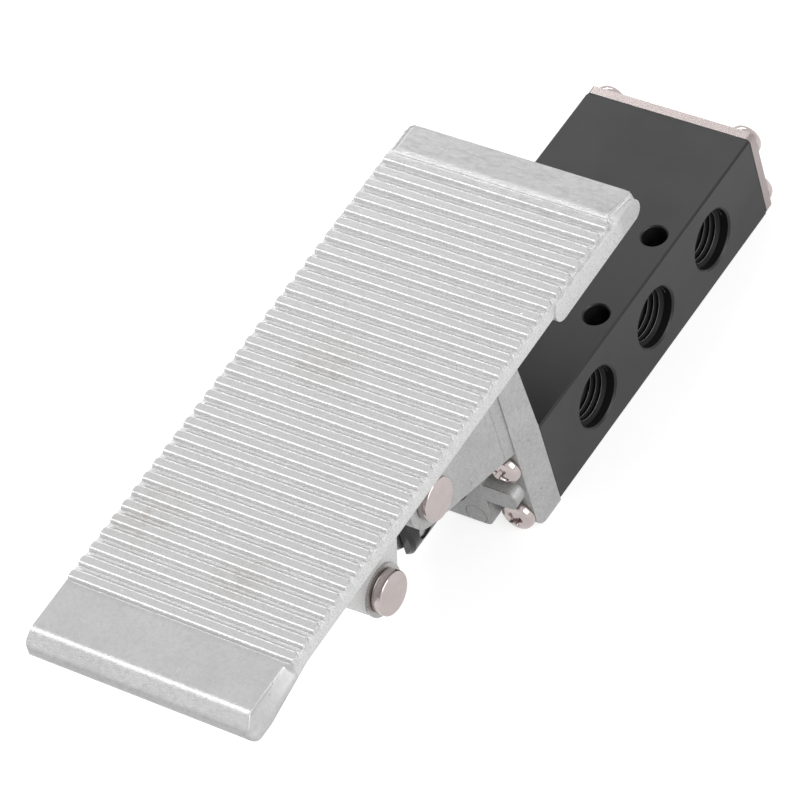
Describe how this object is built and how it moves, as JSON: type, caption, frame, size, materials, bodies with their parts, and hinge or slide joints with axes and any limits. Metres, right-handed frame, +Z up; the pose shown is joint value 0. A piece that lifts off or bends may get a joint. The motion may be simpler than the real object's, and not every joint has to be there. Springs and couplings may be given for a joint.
{
  "type": "foot pedal air valve",
  "caption": "Treadle pedal on a cast bracket that pushes the spool of a small rectangular air valve through a link, with side ports and upright fixing holes.",
  "frame": {"origin": "centre of the valve body's flat underside", "axes": "+X out of the side with the row of ports that has one more, +Y from the pedal's toe to the end cover, +Z up"},
  "size_m": [0.0544, 0.1912, 0.0554],
  "materials": {
    "cast_aluminium_pedal": "die cast and tumbled, satin, light silver grey",
    "cast_aluminium_bracket": "die cast, matt, slightly darker grey than the pedal",
    "black_anodised": "machined and black anodised, satin",
    "black_stem": "turned, black and glossy",
    "nickel_plate": "nickel plated sheet steel, warm satin",
    "screw_nickel": "nickel plated, bright, slightly warm",
    "pin_nickel": "nickel plated, face satin, rim bright",
    "steel": "zinc plated, satin",
    "spring_steel": "plain spring steel",
    "acetal": "white, matt",
    "rubber": "black nitrile"
  },
  "bodies": {
    "valve": {"valve_body": "black_anodised", "front_gasket": "rubber", "rear_gasket": "rubber", "end_cover": "nickel_plate", "end_cover_screws": "screw_nickel", "front_bracket": "cast_aluminium_bracket", "bracket_screws": "screw_nickel", "stem_bushing": "acetal", "stem_wiper": "rubber", "return_spring": "spring_steel", "pivot_pin": "pin_nickel", "pivot_pin_clip": "spring_steel"},
    "pedal": {"pedal": "cast_aluminium_pedal", "link_pin": "pin_nickel", "link_pin_clip": "spring_steel", "link_pin_washer": "steel"},
    "spool": {"spool": "black_stem", "spool_seal_1": "rubber", "spool_seal_2": "rubber", "spool_seal_3": "rubber", "spool_seal_4": "rubber", "spool_seal_5": "rubber", "spool_seal_6": "rubber", "spool_pin": "steel", "spring_seat": "acetal"},
    "link": {"link": "steel"}
  },
  "joints": [
    {"name": "pedal_hinge", "type": "hinge", "parent": "valve", "child": "pedal", "pos_m": [0, -0.0757, 0.0384], "axis": [1, 0, 0], "range_deg": [0, 14], "stiffness_Nm_per_rad": 0.8106, "springref_deg": -28.46},
    {"name": "spool_slide", "type": "slide", "parent": "valve", "child": "spool", "axis": [0, 1, 0], "range_m": [0, 0.00497], "deforming": ["return_spring"]},
    {"name": "link_pivot", "type": "hinge", "parent": "pedal", "child": "link", "pos_m": [0, -0.0946, 0.031], "axis": [1, 0, 0], "range_deg": [-5.56, 0]}
  ],
  "couplings": [
    {"joint": "spool_slide", "follows": "pedal_hinge", "m_per_rad": 0.020132},
    {"joint": "link_pivot", "follows": "pedal_hinge", "ratio": -0.39362}
  ]
}
